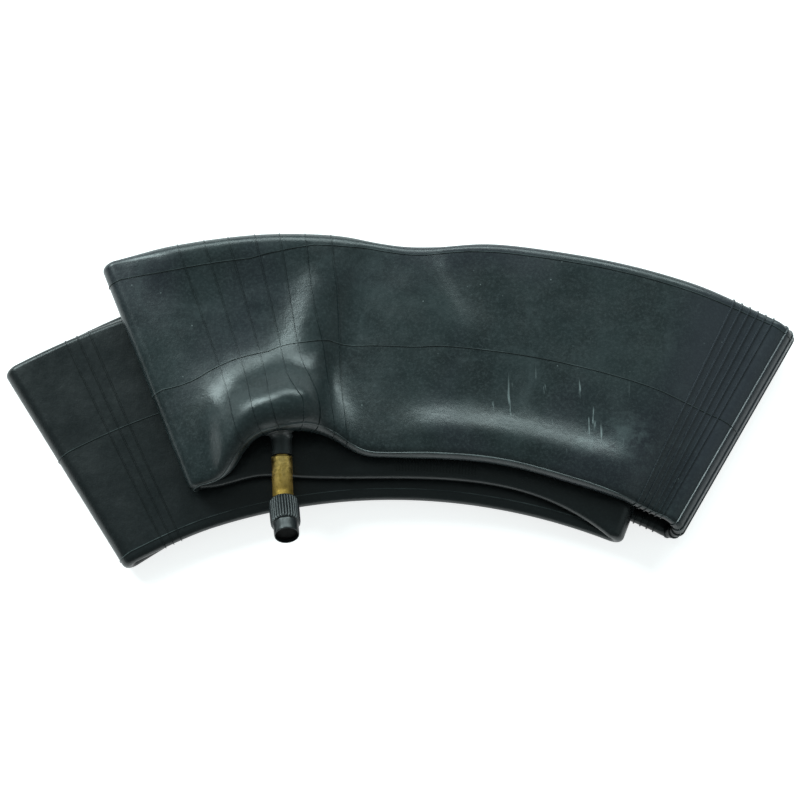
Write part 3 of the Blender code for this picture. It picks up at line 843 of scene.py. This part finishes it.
def spring_coil(material):
    """Return spring of the core: its top end at the pin's collar, its foot in the barrel."""
    wire, coil, turns, corners = 0.11, 0.85, 4.5, 12
    low, high = -10.6, -7.95
    tip, direction = on_stem(stem_length())
    side = valve_path()[3]
    up = unit(np.cross(side, direction))
    lean = 2.0 * np.pi * np.arange(corners)[:, None] / corners
    rings = []
    for part in np.linspace(0.0, 1.0, 109):
        turn = 2.0 * math.pi * turns * part
        out = side * math.cos(turn) + up * math.sin(turn)
        centre = tip + direction * (low + (high - low) * part) + out * coil
        rings.append(centre + wire * (out * np.cos(lean) + direction * np.sin(lean)))
    piece = loft("spring_coil", rings, material, None)
    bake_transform(piece)
    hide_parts("core_spring")


def fluted(height, radius, depth, segments):
    """A ring of the cap with rounded flutes of a depth."""
    turn = np.arange(segments) / segments * FLUTES
    wave = np.abs(np.sin(np.pi * turn)) ** 0.7
    return circle(stem_length() + height, radius - depth * (1.0 - wave), segments)


def cap_shell(material):
    size = FLUTES * 8
    tip = stem_length()
    rings = [circle(tip + 1.4, 3.95, size), circle(tip + 1.2, 4.05, size)]
    for d in np.arange(tip + 1.0, tip - 6.0, -THREAD_STEP):
        rings.append(thread_ring(d, CAP_CREST, CAP_ROOT, size))
    rings += [circle(tip - 6.2, 4.1, size), circle(tip - 12.7, 4.1, size), circle(tip - 12.9, 4.3, size)]
    rings += [circle(tip - 12.9, 5.2, size), fluted(-12.75, 5.55, 0.05, size)]
    rings += [fluted(-12.4, 5.8, 0.3, size), fluted(-12.0, 5.85, 0.5, size)]
    rings += [fluted(h, 5.85 - 0.01 * (h + 12.0), 0.5, size) for h in (-9.0, -6.0, -3.0)]
    rings += [fluted(-2.3, 5.68, 0.35, size), fluted(-1.9, 5.45, 0.1, size), circle(tip - 1.7, 5.1, size)]
    rings += [circle(tip - 1.6, 4.9, size), circle(tip - 1.3, 4.85, size), circle(tip + 1.0, 4.85, size)]
    rings += [circle(tip + 3.0, 4.8, size), circle(tip + 3.4, 4.72, size), circle(tip + 3.5, 4.6, size)]
    rings += [circle(tip + 3.45, 4.45, size), circle(tip + 3.2, 4.35, size), circle(tip + 2.0, 4.25, size)]
    piece = loft("cap_shell", rings, material, "cap", sharp=40.0)
    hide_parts("valve_cap")


def cap_floor(material):
    """Sunk end wall of the cap."""
    rings = [circle(stem_length() + height, 4.2) for height in (1.9, 2.06)]
    loft("cap_floor", rings, material, "cap")


# ---------------------------------------------------------------- room, light and camera


# In metres and watts: the floor's half side and height, the lights' places, sizes and powers, the camera.
FLOOR_HALF, FLOOR_HEIGHT = 2.5, -0.0003
LIGHTS = (
    ("key", (-0.85, 0.74, 0.78), (0.55, 0.55), 15.0),
    ("back", (0.15, 1.2, 0.85), (1.6, 0.5), 22.0),
    ("side", (1.1, -0.2, 0.8), (0.8, 0.8), 0.6),
)
LIGHT_TINT = (0.82, 1.0, 1.0)
WORLD_TINT = (0.80, 1.0, 1.0, 1.0)
WORLD_STRENGTH = 0.27
CAMERA_ELEVATION = 75.0
CAMERA_DISTANCE = 0.9
CAMERA_LENS = 101.25


def add_floor():
    mesh = bpy.data.meshes.new("floor")
    size, drop = FLOOR_HALF, FLOOR_HEIGHT
    corners = [(-size, -size, drop), (size, -size, drop), (size, size, drop), (-size, size, drop)]
    mesh.from_pydata(corners, [], [(0, 1, 2, 3)])
    floor = bpy.data.objects.new("floor", mesh)
    bpy.context.collection.objects.link(floor)
    n = Nodes("floor_white", 0.0, 0.85)
    n.colour(n.mix(n.noise(3.0), (0.78, 0.78, 0.78), (0.80, 0.80, 0.80)))
    n.shader.inputs["Emission Color"].default_value = (1.0, 1.0, 1.0, 1.0)
    n.shader.inputs["Emission Strength"].default_value = 0.75
    mesh.materials.append(n.material)


def add_light(name, place, size, power):
    """An area light aimed at the origin."""
    light = bpy.data.lights.new(name, "AREA")
    light.shape = "RECTANGLE"
    light.size, light.size_y = size
    light.energy = power
    light.color = LIGHT_TINT
    obj = bpy.data.objects.new(name, light)
    obj.location = place
    obj.rotation_euler = (-Vector(place)).to_track_quat("-Z", "Y").to_euler()
    bpy.context.collection.objects.link(obj)


def add_world():
    world = bpy.data.worlds.new("studio")
    world.use_nodes = True
    background = world.node_tree.nodes["Background"]
    background.inputs["Color"].default_value = WORLD_TINT
    background.inputs["Strength"].default_value = WORLD_STRENGTH
    bpy.context.scene.world = world


def add_camera():
    camera = bpy.data.cameras.new("camera")
    camera.lens = CAMERA_LENS
    camera.sensor_width = 36.0
    obj = bpy.data.objects.new("camera", camera)
    aim = Vector((CENTRE_SHIFT[0] * MM, CENTRE_SHIFT[1] * MM, 0.0))
    lean = math.radians(CAMERA_ELEVATION)
    obj.location = aim + Vector((0.0, -math.cos(lean), math.sin(lean))) * CAMERA_DISTANCE
    obj.rotation_euler = (aim - obj.location).to_track_quat("-Z", "Y").to_euler()
    bpy.context.collection.objects.link(obj)
    bpy.context.scene.camera = obj


def main():
    rubber = butyl()
    tube_skin(rubber)
    mould_ribs(rubber)
    mould_seams(highlit_seam_rubber())
    valve_pad(pad_rubber())
    valve_stem(brass("stem_brass_aged_shaded", (1.0, 0.66, 0.22), (0.42, 0.26, 0.06), 0.32, tip_tarnish_and_shade=True))
    shell = plastic("cap_plastic_black", (0.0070, 0.0085, 0.0095), 0.33)
    cap_shell(shell)
    cap_floor(plastic("cap_recess_black", (0.002, 0.002, 0.002), 0.7, 0.1))
    core_brass = brass("core_brass_bright", (0.85, 0.66, 0.32), (0.55, 0.36, 0.12), 0.26)
    pin = steel("pin_steel_plain")
    seal = plastic("seal_rubber_matte", (0.020, 0.020, 0.020), 0.6)
    spring_coil(pin)
    finishes = {
        "core_plug": core_brass,
        "core_barrel": core_brass,
        "core_cup": core_brass,
        "core_washer": seal,
        "cup_seal": seal,
        "cap_gasket": seal,
        "core_pin": pin,
    }
    for node, material in finishes.items():
        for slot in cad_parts[node].material_slots:
            slot.material = material
    add_floor()
    bpy.context.scene.view_settings.view_transform = "Standard"
    add_world()
    for light in LIGHTS:
        add_light(*light)
    add_camera()


main()
